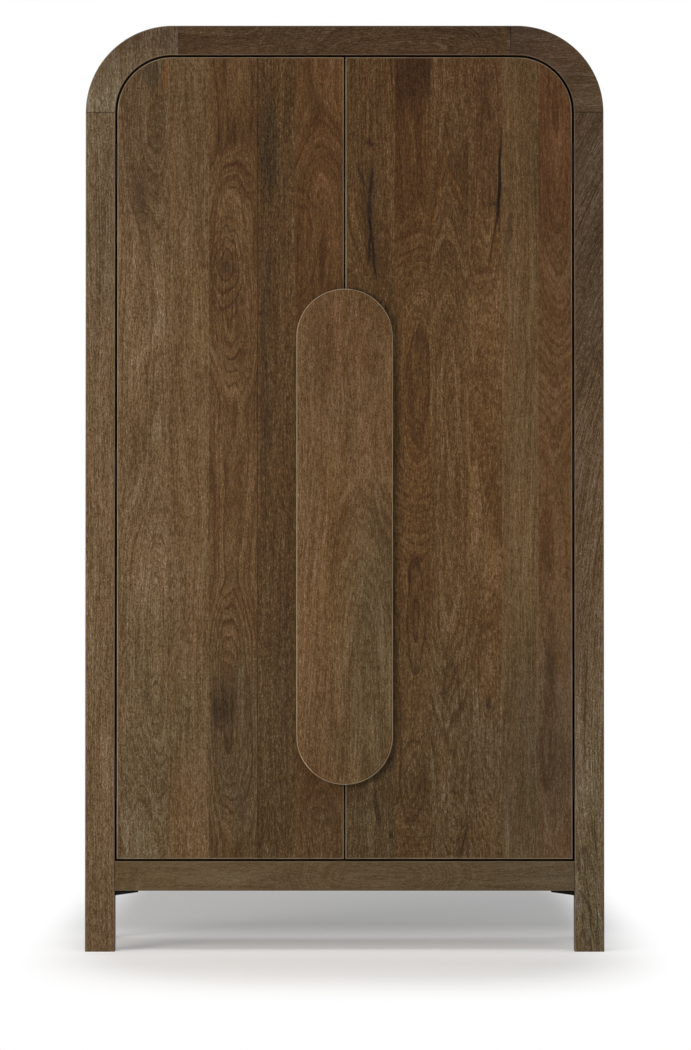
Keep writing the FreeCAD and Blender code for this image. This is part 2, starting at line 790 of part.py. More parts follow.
def hinges():
    """The butt hinges of both doors, and the cuts they need in the posts and the doors."""
    case_knuckles = range(0, KNUCKLES, 2)
    door_knuckles = range(1, KNUCKLES, 2)
    post_cuts = {}
    door_cuts = {}
    leaves = {"case": []}
    screws = {"case": []}
    pins = []
    for hand, side in SIDES.items():
        leaves[hand] = []
        screws[hand] = []
        post_cuts[f"{hand}_front_post"] = []
        door_cuts[hand] = []
        for z in spread("hinge_low", "hinge_high", HINGES):
            plate, fixings, rooms = leaf(f"{hand}_case_leaf", side, True, z, case_knuckles)
            leaves["case"].append(plate)
            screws["case"] += fixings
            post_cuts[f"{hand}_front_post"] += rooms
            plate, fixings, rooms = leaf(f"{hand}_door_leaf", side, False, z, door_knuckles)
            leaves[hand].append(plate)
            screws[hand] += fixings
            door_cuts[hand] += rooms
            start = (at(side, "hinge_x"), "hinge_y", f"{z} - hinge_height / 2")
            pins.append(rod(f"{hand}_hinge_pin", "pin_radius", "hinge_height", start, "+z"))
    for owner, label in (("case", "case"), ("left", "left_door"), ("right", "right_door")):
        node(f"{label}_hinge_leaves", group(f"{label}_hinge_leaves", leaves[owner]))
        node(f"{label}_hinge_screws", group(f"{label}_hinge_screws", screws[owner]))
    node("hinge_pins", group("hinge_pins", pins))
    return post_cuts, door_cuts


def door(hand, side, cuts):
    """A panel of edge-glued boards with one rounded top corner and eased front edges."""
    label = f"{hand}_door_panel"
    body = doc.addObject("PartDesign::Body", f"{label}_body")
    stock = body.newObject("PartDesign::AdditiveBox", f"{label}_stock")
    x = span(side, "door_inner", "door_outer")
    set_block(stock, x, ("front", "door_back"), ("door_low", "door_high"))
    doc.recompute()

    def upper_outer(edge):
        outer = lies_at(edge, "X", at(side, "door_outer"))
        return outer and runs_along(edge, "Y") and lies_at(edge, "Z", "door_high")

    turned_corner = rounded(body, stock, upper_outer, "corner_radius - frame_face - door_gap")
    rounded(body, turned_corner, lambda edge: lies_at(edge, "Y", "front"), "edge_radius")
    node(label, less(label, body, cuts))


def battens(hand, side):
    """Two flat battens screwed across the inside of a door to keep it straight."""
    x = span(side, "door_inner + batten_inset", "door_outer - batten_inset")
    y = ("door_back", "batten_back")
    length = "batten_thickness + screw_bite"
    strips = []
    screws = []
    rooms = []
    for z in ("door_low + batten_rise", "door_high - batten_drop"):
        blank = block(f"{hand}_batten_blank", x, y, (z, f"{z} + batten_width"))
        own = []
        for x_screw in spread(f"{x[0]} + batten_width / 2", f"{x[1]} - batten_width / 2", BATTEN_SCREWS):
            seat = (x_screw, "batten_back", f"{z} + batten_width / 2")
            fixing, room = screw(f"{hand}_batten_screw", seat, "-y", "stout", length)
            screws.append(fixing)
            own.append(room)
        strips.append(less(f"{hand}_batten", blank, own))
        rooms += own
    node(f"{hand}_door_battens", group(f"{hand}_door_battens", strips))
    node(f"{hand}_batten_screws", group(f"{hand}_batten_screws", screws))
    return rooms


def strike(hand, side):
    """A steel plate on the inside of a door that meets the magnet of its catch."""
    x = about(at(side, "catch_middle"), "strike_width")
    y = ("door_back", "door_back + strike_thickness")
    blank = block(f"{hand}_strike_blank", x, y, ("catch_low", "serving_under"))
    screws = []
    rooms = []
    for x_screw in about(at(side, "catch_middle"), "strike_screw_pitch"):
        seat = (x_screw, "door_back + strike_thickness", "catch_low + catch_height / 2")
        fixing, room = screw(f"{hand}_strike_screw", seat, "-y", "slim", "slim_length")
        screws.append(fixing)
        rooms.append(room)
    node(f"{hand}_strike", less(f"{hand}_strike", blank, rooms))
    node(f"{hand}_strike_screws", group(f"{hand}_strike_screws", screws))
    return rooms


def pull_plate():
    """A long plate with round ends over the meeting edges, screwed to the right door from behind."""
    y = ("pull_front", "front")
    low = "pull_rise + pull_end"
    high = "pull_rise + pull_length - pull_end"
    body = doc.addObject("PartDesign::Body", "pull_plate_body")
    middle = body.newObject("PartDesign::AdditiveBox", "pull_middle")
    set_block(middle, ("-(pull_end)", "pull_end"), y, (low, high))
    for name, z in (("pull_lower_end", low), ("pull_upper_end", high)):
        end = body.newObject("PartDesign::AdditiveCylinder", name)
        set_round(end, "pull_end", "pull_thickness", ("0", "pull_front", z), turned("+y"))
        end.Refine = True
    doc.recompute()
    rounded(body, end, lambda edge: lies_at(edge, "Y", "pull_front"), "pull_edge_radius")
    relief = block("pull_relief_cut", ("-(pull_end)", "door_inner"), ("front - pull_relief", "front"),
                   ("pull_rise", "pull_rise + pull_length"))
    screws = []
    rooms = []
    middle_row = (PULL_SCREWS - 1) / 2
    for row in range(PULL_SCREWS):
        z = f"pull_rise + pull_length / 2 + pull_screw_pitch * {row - middle_row}"
        seat = ("pull_screw_inset", "door_back", z)
        fixing, room = screw("pull_screw", seat, "-y", "stout", "door_thickness + screw_bite")
        screws.append(fixing)
        rooms.append(room)
    node("pull_plate", less("pull_plate", body, [relief] + rooms))
    node("pull_screws", group("pull_screws", screws))
    return rooms


def write_steps():
    """Checks every object and writes each node to its own file."""
    doc.recompute()
    for piece in doc.Objects:
        if "Invalid" in piece.State or "Error" in piece.State:
            raise RuntimeError(f"{piece.Label} did not build: {piece.State}")
    for piece in nodes:
        if piece.Shape.isNull() or not piece.Shape.isValid() or not piece.Shape.Solids:
            raise RuntimeError(f"{piece.Label} has no valid solid")
    os.makedirs("parts", exist_ok=True)
    for piece in nodes:
        piece.Shape.exportStep(f"parts/{piece.Label}.step")


fill_sheet()
post_cuts, door_cuts = hinges()
dowels = frame("front", "frame_face", ("front", "frame_back"), "front", "post_inner",
               {**post_cuts, "front_apron": leg_braces()})
dowels += frame("rear", "rear_face", ("rear_front", "rear"), "rear", "rear_inner", back_panel())
node("frame_dowels", group("frame_dowels", dowels))
pin_holes = shelf_pin_holes()
shell(cleats(), pin_holes)
case_floor()
shelves(pin_holes, catches(), stemware_rails())
bottle_grid()
pull_cuts = pull_plate()
for hand, side in SIDES.items():
    cuts = door_cuts[hand] + battens(hand, side) + strike(hand, side)
    if hand == "right":
        cuts += pull_cuts
    door(hand, side, cuts)
write_steps()
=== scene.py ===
import math

import bpy
import numpy as np
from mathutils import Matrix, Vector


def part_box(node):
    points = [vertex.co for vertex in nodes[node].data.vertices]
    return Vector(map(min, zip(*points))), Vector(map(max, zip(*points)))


# The bar armoire, in metres: it stands on z = 0, its front faces -Y, X runs to the right seen from the front.
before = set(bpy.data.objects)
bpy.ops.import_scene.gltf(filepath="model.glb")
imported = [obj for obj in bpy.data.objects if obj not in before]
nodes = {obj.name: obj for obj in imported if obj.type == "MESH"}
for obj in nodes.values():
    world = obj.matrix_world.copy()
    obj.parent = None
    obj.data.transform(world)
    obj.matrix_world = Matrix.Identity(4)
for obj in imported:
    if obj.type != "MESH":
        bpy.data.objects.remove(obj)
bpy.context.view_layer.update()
MM = 0.001


# Front frame
# Two straight posts that run down to the floor as legs, two sawn corner blocks, a top rail and an apron.
# Mango wood, planed, stained brown and sealed with a satin lacquer; doweled and glued at thin dark seams.
def linear(code):
    """The linear colour of an sRGB hex code: a channel c becomes c / 12.92 or ((c + 0.055) / 1.055) ^ 2.4."""
    srgb = np.array([int(code[i:i + 2], 16) for i in (1, 3, 5)]) / 255
    return tuple(np.where(srgb <= 0.04045, srgb / 12.92, ((srgb + 0.055) / 1.055) ** 2.4))


def add(tree, kind, sockets=None, **settings):
    """Adds a node with its settings, fills or links its sockets, and gives its first output."""
    node = tree.nodes.new("ShaderNode" + kind)
    for name, value in settings.items():
        setattr(node, name, value)
    for name, value in (sockets or {}).items():
        if isinstance(value, bpy.types.NodeSocket):
            tree.links.new(value, node.inputs[name])
        else:
            node.inputs[name].default_value = value
    return node.outputs[0] if node.outputs else node


def board(tone, pith=0.0, crest=0.0, wave=900.0, rise=60.0, lines=0.25, spacing=4.6, lively=1.0):
    """One board of a panel: its stain; in millimetres where its pith runs, from the panel's first edge, the
    height where the pith comes nearest the face, how often it does so and how deep it dives between; then how
    dark its growth lines are, how many millimetres apart, and how lively its fibres are."""
    return {"tone": (*linear(tone), 1.0), "rings": (pith, crest, wave, spacing),
            "figure": (rise, lines, lively)}


# Figure, in millimetres: how deep the pith lies at a crest, how wide a growth line is, how far the edge of a
# mark wanders, and how far apart in the log two neighbouring boards are cut
PITH_DEPTH = 9.0
LINE_WIDTH = 2.8
WOBBLE = 7.0
LOG_STEP = (61.0, 17.0, 433.0)
# Lightness: the usual span of noise, how far each layer darkens or lightens the wood, and the darkest it gets
NOISE_LOW, NOISE_HIGH = 0.3, 0.7
PORE_DEPTH = 0.26
FIBRE_STEPS = {"speck": 0.58, "fibre": 0.54, "thread": 0.32, "streak": 0.20}
CLOUD_STEP = 0.16
DARKEST = -0.9
# Stain: what a step of lightness does to red, green and blue, so that dark fibres turn redder and pale ones
# greyer; how far pale ones are held back; its cool and warm casts; how pale its flecks are, and how many
STAIN_DEPTH = (2.66, 3.67, 7.6)
PALE_LIMIT = 0.84
COOL_CAST, WARM_CAST = (0.94, 1.01, 1.07, 1), (1.015, 0.995, 0.965, 1)
FLECK_LIFT = (1.85, 2.02, 2.36)
FLECK_SHARE = 0.50
# Marks and eyes: where the edge of a mark starts and ends, which part of an eye's ring its line fills, and
# where the rings fade away; 1 is the half width
MARK_EDGE = (1.9, 1.0)
EYE_LINE = (0.62, 0.92)
EYE_EDGE = (1.45, 1.15)
# Tone of a glue seam and of end grain beside the face, and the lacquer's roughness between fibres and on them
SEAM_TONE = 0.38
END_TONE = 0.62
MATT, SATIN = 0.60, 0.46


def stained_mango(name, axes, edges, boards, rim_wear_and_highlight=None, seams=(), marks=(), rim_slopes=(0.985, 0.885, 0.35, 0.12),
                  cast_and_shade=(), sweep=None, eyes=()):
    """Mango wood with a brown stain and satin lacquer. Fine broken fibres and short pores follow the grain,
    growth lines rise in arches where a board is cut across its rings, and each board keeps its own tone.
    axes names the directions across the boards, into them and along them; edges are the boards' sides. The rim
    tone is a paler band on eased edges, wear together with a painted highlight, and the rim slopes say where it
    starts, fills, thins and ends. A seam is an axis, a place on it and a half width. The drift of cast and
    shade lists places along the boards with a cast there: its hue is the stain's, its lightness painted shade
    and light.
    sweep says how much the grain bows and from what height. Marks and eyes are told where they are drawn."""
    material = bpy.data.materials.new(name)
    material.use_nodes = True
    tree = material.node_tree
    tree.nodes.clear()
    place = add(tree, "TexCoord").node
    in_mm = add(tree, "VectorMath", {0: place.outputs["Object"], "Scale": 1 / MM}, operation="SCALE")
    parts = add(tree, "SeparateXYZ", {0: in_mm}).node.outputs
    across, depth, along = [parts["xyz".index(axis)] for axis in axes]
    facing = add(tree, "SeparateXYZ", {0: place.outputs["Normal"]}).node.outputs

    # Which board a point lies on, and that board's traits; the last ramp's alpha counts the boards
    first, last = edges[0], edges[-1]
    share = add(tree, "MapRange", {0: across, 1: first, 2: last})
    traits = {}
    for trait in ("tone", "rings", "figure"):
        ramp = add(tree, "ValToRGB", {0: share}).node
        stops = ramp.color_ramp.elements
        ramp.color_ramp.interpolation = "CONSTANT"
        stops.remove(stops[1])
        for order, piece in enumerate(boards):
            stop = stops[0] if order == 0 else stops.new((edges[order] - first) / (last - first))
            stop.color = (*piece[trait], order)[:4]
        traits[trait] = ramp.outputs
    pith, crest, wave = add(tree, "SeparateXYZ", {0: traits["rings"]["Color"]}).node.outputs
    rise, lines, lively = add(tree, "SeparateXYZ", {0: traits["figure"]["Color"]}).node.outputs
    spacing, order = traits["rings"]["Alpha"], traits["figure"]["Alpha"]

    # Growth lines: rings about a pith that wanders sideways and dips below the face; each board is cut from
    # another part of the log, so the grain starts anew at its edges
    skip = add(tree, "VectorMath", {0: LOG_STEP, "Scale": order}, operation="SCALE")
    grain = across
    if sweep:
        bow, turning_height = sweep
        off = add(tree, "Math", {0: along, 1: turning_height}, operation="SUBTRACT")
        off = add(tree, "Math", {0: off, 1: off}, operation="MULTIPLY")
        grain = add(tree, "Math", {0: off, 1: -bow, 2: across}, operation="MULTIPLY_ADD")
    log = add(tree, "CombineXYZ", {0: grain, 1: depth, 2: along})
    log = add(tree, "VectorMath", {0: log, 1: skip}, operation="ADD")
    side = add(tree, "Math", {0: grain, 1: first}, operation="SUBTRACT")
    side = add(tree, "Math", {0: side, 1: pith}, operation="SUBTRACT")
    turn = add(tree, "Math", {0: along, 1: crest}, operation="SUBTRACT")
    turn = add(tree, "Math", {0: turn, 1: wave}, operation="DIVIDE")
    turn = add(tree, "Math", {0: turn, 1: 2 * math.pi}, operation="MULTIPLY")
    dip = add(tree, "Math", {0: turn}, operation="COSINE")
    dip = add(tree, "MapRange", {0: dip, 1: 1.0, 2: -0.4}, interpolation_type="SMOOTHSTEP")
    dip = add(tree, "Math", {0: dip, 1: rise, 2: PITH_DEPTH}, operation="MULTIPLY_ADD")
    radius = add(tree, "CombineXYZ", {0: side, 1: dip})
    radius = add(tree, "VectorMath", {0: radius}, operation="LENGTH").node.outputs["Value"]
    for wide, long, sway in ((90, 900, 60.0), (22, 210, 13.0)):
        scaled = add(tree, "VectorMath", {0: log, 1: (1 / wide, 1 / wide, 1 / long)}, operation="MULTIPLY")
        wander = add(tree, "TexNoise", {"Vector": scaled, "Scale": 1.0, "Detail": 1.0})
        radius = add(tree, "Math", {0: wander, 1: sway, 2: radius}, operation="MULTIPLY_ADD")
    flow = add(tree, "CombineXYZ", {0: radius, 1: depth, 2: along})
    flow = add(tree, "VectorMath", {0: flow, 1: skip}, operation="ADD")

    # Layers of figure, in millimetres across and along; real fibres are a tenth as wide, and drawn this coarse
    # they still show from across a room
    noise = {}
    for layer, (course, wide, long, detail) in {
        "cloud": (log, 48, 260, 2), "hue": (log, 30, 190, 2), "patch": (log, 24, 90, 1),
        "streak": (flow, 9, 240, 2), "thread": (flow, 2.4, 130, 3), "fibre": (log, 2.0, 13, 4),
        "speck": (log, 1.8, 3.6, 2), "pore": (log, 2.0, 10, 1), "fleck": (log, 1.9, 9, 1),
    }.items():
        scaled = add(tree, "VectorMath", {0: course, 1: (1 / wide, 1 / wide, 1 / long)}, operation="MULTIPLY")
        noise[layer] = add(tree, "TexNoise",
                           {"Vector": scaled, "Scale": 1.0, "Detail": detail, "Roughness": 0.6})
    ring = add(tree, "Math", {0: radius, 1: spacing}, operation="DIVIDE")
    ring = add(tree, "Math", {0: ring}, operation="FRACT")
    start = add(tree, "Math", {0: LINE_WIDTH, 1: spacing}, operation="DIVIDE")
    start = add(tree, "Math", {0: 1.0, 1: start}, operation="SUBTRACT")
    late = add(tree, "MapRange", {0: ring, 1: start, 2: 0.97}, interpolation_type="SMOOTHSTEP")
    seen = add(tree, "MapRange", {0: noise["patch"], 1: 0.30, 2: 0.58, 3: 0.15, 4: 1.0})
    late = add(tree, "Math", {0: late, 1: seen}, operation="MULTIPLY")
    late = add(tree, "Math", {0: late, 1: lines}, operation="MULTIPLY")
    pores = add(tree, "MapRange", {0: noise["pore"], 1: 0.56, 2: 0.70})
    flecks = add(tree, "MapRange", {0: noise["fleck"], 1: 0.56, 2: 0.68})

    # Lightness: fibres and pores as lively as the board, slow clouds, and growth lines that darken it
    shade = add(tree, "Math", {0: pores, 1: -PORE_DEPTH}, operation="MULTIPLY")
    for layer, tone_step in FIBRE_STEPS.items():
        step = add(tree, "MapRange",
                   {0: noise[layer], 1: NOISE_LOW, 2: NOISE_HIGH, 3: -tone_step, 4: tone_step})
        shade = add(tree, "Math", {0: shade, 1: step}, operation="ADD")
    cloud = add(tree, "MapRange",
                {0: noise["cloud"], 1: NOISE_LOW, 2: NOISE_HIGH, 3: -CLOUD_STEP, 4: CLOUD_STEP})
    shade = add(tree, "Math", {0: shade, 1: lively, 2: cloud}, operation="MULTIPLY_ADD")
    shade = add(tree, "Math", {0: shade, 1: late}, operation="SUBTRACT")
    shade = add(tree, "Math", {0: shade, 1: DARKEST}, operation="MAXIMUM")
    soft = add(tree, "Math", {0: shade, 1: PALE_LIMIT}, operation="MULTIPLY")
    shade = add(tree, "Math", {0: shade, 1: soft}, operation="MINIMUM")
    steps = [add(tree, "Math", {0: base, 1: shade}, operation="POWER") for base in STAIN_DEPTH]
    depths = add(tree, "CombineXYZ", dict(enumerate(steps)))
    warm = add(tree, "Math", {0: noise["hue"], 1: noise["cloud"]}, operation="ADD")
    warm = add(tree, "MapRange", {0: warm, 1: 0.7, 2: 1.3})
    tint = add(tree, "Mix", {0: warm, 6: COOL_CAST, 7: WARM_CAST}, data_type="RGBA").node.outputs[2]
    stain = add(tree, "VectorMath", {0: traits["tone"]["Color"], 1: tint}, operation="MULTIPLY")
    colour = add(tree, "VectorMath", {0: stain, 1: depths}, operation="MULTIPLY")

    # The cast drifts along the boards as the stain does; the lightness drifting with it is painted shade and
    # light
    if cast_and_shade:
        climb = add(tree, "MapRange", {0: along, 1: cast_and_shade[0][0], 2: cast_and_shade[-1][0]})
        ramp = add(tree, "ValToRGB", {0: climb}).node
        stops = ramp.color_ramp.elements
        ramp.color_ramp.interpolation = "EASE"
        stops.remove(stops[1])
        for i, (height, cast) in enumerate(cast_and_shade):
            stop = stops[0] if i == 0 else stops.new((height - cast_and_shade[0][0]) / (cast_and_shade[-1][0] - cast_and_shade[0][0]))
            stop.color = (*cast, 1)
        colour = add(tree, "VectorMath", {0: colour, 1: ramp.outputs["Color"]}, operation="MULTIPLY")

    # Pale flecks, where the stain has not filled the pores, come in loose patches
    flecks = add(tree, "Math", {0: flecks, 1: noise["patch"]}, operation="MULTIPLY")
    flecks = add(tree, "Math", {0: flecks, 1: lively}, operation="MULTIPLY")
    flecks = add(tree, "Math", {0: flecks, 1: FLECK_SHARE}, operation="MULTIPLY")
    pale = add(tree, "VectorMath", {0: stain, 1: FLECK_LIFT}, operation="MULTIPLY")
    colour = add(tree, "Mix", {0: flecks, 6: colour, 7: pale}, data_type="RGBA").node.outputs[2]

    # Marks: knots, checks and mineral stains, each a spot drawn out along the grain of one board. A mark is its
    # centre, its height, half its width and half its length in millimetres, its lean, and its cast
    wobble = add(tree, "MapRange", {0: noise["patch"], 3: -WOBBLE, 4: WOBBLE})
    for centre, height, wide, long, lean, cast in marks:
        off = add(tree, "Math", {0: along, 1: height}, operation="SUBTRACT")
        spine = add(tree, "Math", {0: off, 1: lean, 2: centre}, operation="MULTIPLY_ADD")
        aside = add(tree, "Math", {0: across, 1: spine}, operation="SUBTRACT")
        aside = add(tree, "Math", {0: wobble, 1: aside}, operation="ADD")
        aside = add(tree, "Math", {0: aside, 1: wide}, operation="DIVIDE")
        off = add(tree, "Math", {0: off, 1: long}, operation="DIVIDE")
        spot = add(tree, "CombineXYZ", {0: aside, 1: off})
        spot = add(tree, "VectorMath", {0: spot}, operation="LENGTH").node.outputs["Value"]
        spot = add(tree, "Math", {0: noise["patch"], 1: 0.7, 2: spot}, operation="MULTIPLY_ADD")
        spot = add(tree, "Math", {0: noise["streak"], 1: 0.5, 2: spot}, operation="MULTIPLY_ADD")
        spot = add(tree, "MapRange", {0: spot, 1: MARK_EDGE[0], 2: MARK_EDGE[1]},
                   interpolation_type="SMOOTHSTEP")
        own = add(tree, "Math", {0: order, 1: np.searchsorted(edges, centre) - 1, 2: 0.5}, operation="COMPARE")
        spot = add(tree, "Math", {0: spot, 1: own}, operation="MULTIPLY")
        colour = add(tree, "Mix", {0: spot, 6: colour, 7: (*cast, 1)}, data_type="RGBA", blend_type="MULTIPLY")
        colour = colour.node.outputs[2]

    # Eyes: ovals of growth lines inside each other, where a board is sawn through a swelling of the log. An eye
    # is told as a mark is, with the number of its lines in place of a lean
    for centre, height, wide, long, count, cast in eyes:
        aside = add(tree, "MapRange", {0: across, 1: centre, 2: centre + wide}, clamp=False)
        off = add(tree, "MapRange", {0: along, 1: height, 2: height + long}, clamp=False)
        reach = add(tree, "CombineXYZ", {0: aside, 1: off})
        reach = add(tree, "VectorMath", {0: reach}, operation="LENGTH").node.outputs["Value"]
        reach = add(tree, "Math", {0: noise["patch"], 1: 0.5, 2: reach}, operation="MULTIPLY_ADD")
        line = add(tree, "Math", {0: reach, 1: count}, operation="MULTIPLY")
        line = add(tree, "Math", {0: line}, operation="FRACT")
        line = add(tree, "MapRange", {0: line, 1: EYE_LINE[0], 2: EYE_LINE[1]},
                   interpolation_type="SMOOTHSTEP")
        fade = add(tree, "MapRange", {0: reach, 1: EYE_EDGE[0], 2: EYE_EDGE[1]},
                   interpolation_type="SMOOTHSTEP")
        line = add(tree, "Math", {0: line, 1: fade}, operation="MULTIPLY")
        own = add(tree, "Math", {0: order, 1: np.searchsorted(edges, centre) - 1, 2: 0.5}, operation="COMPARE")
        line = add(tree, "Math", {0: line, 1: own}, operation="MULTIPLY")
        colour = add(tree, "Mix", {0: line, 6: colour, 7: (*cast, 1)}, data_type="RGBA", blend_type="MULTIPLY")
        colour = colour.node.outputs[2]

    # Seams with the neighbouring members hold dark glue and dust
    for axis, where, half in seams:
        gap = add(tree, "Math", {0: parts["xyz".index(axis)], 1: where}, operation="SUBTRACT")
        gap = add(tree, "Math", {0: gap}, operation="ABSOLUTE")
        dark = add(tree, "MapRange", {0: gap, 1: half * 0.4, 2: half * 1.6, 3: SEAM_TONE, 4: 1.0})
        colour = add(tree, "VectorMath", {0: colour, "Scale": dark}, operation="SCALE")

    # End grain drinks more stain
    end = add(tree, "Math", {0: facing["xyz".index(axes[2])]}, operation="ABSOLUTE")
    end = add(tree, "MapRange", {0: end, 1: 0.7, 2: 0.95, 3: 1.0, 4: END_TONE})
    colour = add(tree, "VectorMath", {0: colour, "Scale": end}, operation="SCALE")

    # Eased edges get a paler band, partly wear and partly a painted highlight along the rounded edge
    if rim_wear_and_highlight:
        front = add(tree, "Math", {0: facing["xyz".index(axes[1])]}, operation="ABSOLUTE")
        inner = add(tree, "MapRange", {0: front, 1: rim_slopes[0], 2: rim_slopes[1]})
        outer = add(tree, "MapRange", {0: front, 1: rim_slopes[3], 2: rim_slopes[2]})
        wear_and_glint = add(tree, "Math", {0: inner, 1: outer}, operation="MULTIPLY")
        patchy = add(tree, "MapRange", {0: noise["patch"], 1: 0.2, 2: 0.6, 3: 0.45, 4: 0.9})
        wear_and_glint = add(tree, "Math", {0: wear_and_glint, 1: patchy}, operation="MULTIPLY")
        pale = (*linear(rim_wear_and_highlight), 1)
        colour = add(tree, "Mix", {0: wear_and_glint, 6: colour, 7: pale}, data_type="RGBA").node.outputs[2]

    # Satin lacquer over open pores: fibres shine a little more, pores and growth lines lie a little lower
    sheen = add(tree, "MapRange", {0: noise["fibre"], 1: NOISE_LOW, 2: NOISE_HIGH, 3: MATT, 4: SATIN})
    relief = add(tree, "Math", {0: pores, 1: -0.8, 2: noise["fibre"]}, operation="MULTIPLY_ADD")
    relief = add(tree, "Math", {0: relief, 1: late}, operation="SUBTRACT")
    bump = add(tree, "Bump", {"Strength": 0.2, "Distance": 0.3 * MM, "Height": relief})
    surface = add(tree, "BsdfPrincipled",
                  {"Base Color": colour, "Roughness": sheen, "Normal": bump, "IOR": 1.46,
                   "Specular IOR Level": 0.15})
    add(tree, "OutputMaterial", {"Surface": surface})
    return material


# How far apart corners of a node's loose triangles are joined, in millimetres, and which edges count as sharp
WELD_REACH = 0.002
SHARP_ANGLE = math.radians(40)


def dress(material, *names, ease=0.0):
    """Gives CAD nodes their finish, and eases their sharp edges by a small bevel, in millimetres."""
    for name in names:
        piece = nodes[name]
        piece.data.materials.clear()
        piece.data.materials.append(material)
        if ease:
            weld = piece.modifiers.new("weld", "WELD")
            weld.merge_threshold = WELD_REACH * MM
            bevel = piece.modifiers.new("eased edges", "BEVEL")
            bevel.width = ease * MM
            bevel.segments = 2
            bevel.limit_method = "ANGLE"
            bevel.angle_limit = SHARP_ANGLE
            bevel.use_clamp_overlap = True
            normals = piece.modifiers.new("face normals", "WEIGHTED_NORMAL")
            normals.keep_sharp = True


def mm_box(name):
    """A node's lowest and highest corners in millimetres."""
    return [np.array(corner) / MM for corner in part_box(name)]


post_low, post_high = mm_box("right_front_post")
rail_low, rail_high = mm_box("front_top_rail")
# Half the width of a seam, in millimetres, and the cast of the arcs at the foot of the right post
SEAM = 1.0
FOOT_ARCS = (0.64, 0.60, 0.56)
post_seams = [("z", post_high[2], SEAM)]
# The paler tone given to each member's eased edges is wear together with a painted highlight along the rounded
# edge
left_post = stained_mango(
    "stained mango, left post", "xyz", (-post_high[0], -post_low[0]),
    [board("#614b32", pith=220, crest=700, wave=1900, rise=20, lines=0.18, lively=0.95)],
    "#7d6d58", post_seams,
    cast_and_shade=[(300, (0.99, 1.01, 1.02)), (900, (0.97, 0.97, 0.95)), (1500, (0.97, 1.07, 1.22))])
# Painted shade: the right post's drift makes it much darker towards the top
right_post = stained_mango(
    "stained mango, right post", "xyz", (post_low[0], post_high[0]),
    [board("#624e35", pith=900, crest=380, wave=4200, rise=20, lines=0.60, spacing=12.0, lively=0.95)],
    "#6f604d", post_seams, sweep=(0.00023, 380), eyes=[(440, 0, 40, 260, 3.0, FOOT_ARCS)],
    cast_and_shade=[(150, (0.99, 1.12, 1.23)), (750, (0.86, 0.83, 0.86)), (1450, (0.56, 0.53, 0.58))])
# Painted shade: the left corner's drift darkens it towards the top
left_corner = stained_mango(
    "stained mango, left corner", "xyz", (-post_high[0], rail_low[0]),
    [board("#685842", pith=400, crest=0, wave=3000, rise=20, lines=0.14, lively=0.9)], "#76664f",
    [("z", post_high[2], SEAM), ("x", rail_low[0], SEAM)],
    cast_and_shade=[(1570, (1.12, 1.18, 1.30)), (1640, (0.86, 0.82, 0.79)), (1700, (0.58, 0.50, 0.45))])
# Painted shade: the right corner's drift darkens it towards the top rail
right_corner = stained_mango(
    "stained mango, right corner", "zyx", (post_high[2], rail_high[2]),
    [board("#523e2a", pith=60, crest=400, wave=900, rise=120, lines=0.2, lively=0.75)], "#665746",
    [("z", post_high[2], SEAM), ("x", rail_high[0], SEAM)],
    cast_and_shade=[(330, (0.67, 0.66, 0.74)), (400, (0.88, 0.88, 0.94)), (470, (1.06, 1.12, 1.16))])
top_rail = stained_mango(
    "stained mango, top rail", "zyx", (rail_low[2], rail_high[2]),
    [board("#46321d", pith=20, crest=100, wave=900, rise=110, lines=0.3)], "#655646",
    [("x", rail_low[0], SEAM), ("x", rail_high[0], SEAM)])
apron_low, apron_high = mm_box("front_apron")
apron = stained_mango(
    "stained mango, apron", "zyx", (apron_low[2], apron_high[2]),
    [board("#56442b", pith=24, crest=60, wave=620, rise=70, lines=0.18, lively=0.45)], "#6d5e49",
    [("x", apron_low[0], SEAM), ("x", apron_high[0], SEAM)],
    cast_and_shade=[(-400, (0.98, 1.01, 1.05)), (0, (1.04, 1.06, 1.14)), (400, (0.95, 1.03, 1.26))])
dress(left_post, "left_front_post", ease=0.6)
dress(right_post, "right_front_post", ease=0.6)
dress(left_corner, "left_front_corner", ease=0.6)
dress(right_corner, "right_front_corner", ease=0.6)
dress(top_rail, "front_top_rail", ease=0.6)
dress(apron, "front_apron", ease=0.6)


# Shell and rear frame
# Side panels, curved shoulders and top edge-glued from boards, a second frame behind them, and the back.
# The same stained mango, set flush between the two frames; the back is a veneered panel, screwed on.
STAINS = ("#5f4c37", "#574431", "#66533c", "#523f2c", "#604a34")
# How far a joint strays from its even place, as a share of a board's width
UNEVEN = 0.12


def glued_panel(name, axes, low, high, count, seed, stains=STAINS):
    """A panel of edge-glued boards, of nearly equal widths, between two sides in millimetres. A seeded
    generator draws where each board's pith lies, its stain, its crest, wave and rise, and its lines."""
    draw = np.random.default_rng(seed)
    edges = np.linspace(low, high, count + 1)
    edges[1:-1] += draw.uniform(-UNEVEN, UNEVEN, count - 1) * (high - low) / count
    boards = []
    for i in range(count):
        middle = edges[i] - low + (edges[i + 1] - edges[i]) * draw.uniform(0.2, 0.8)
        boards.append(board(stains[draw.integers(len(stains))], max(middle, 0.0), draw.uniform(0, 1500),
                            draw.uniform(500, 1400), draw.uniform(30, 110), draw.uniform(0.12, 0.4)))
    return stained_mango(name, axes, list(edges), boards)


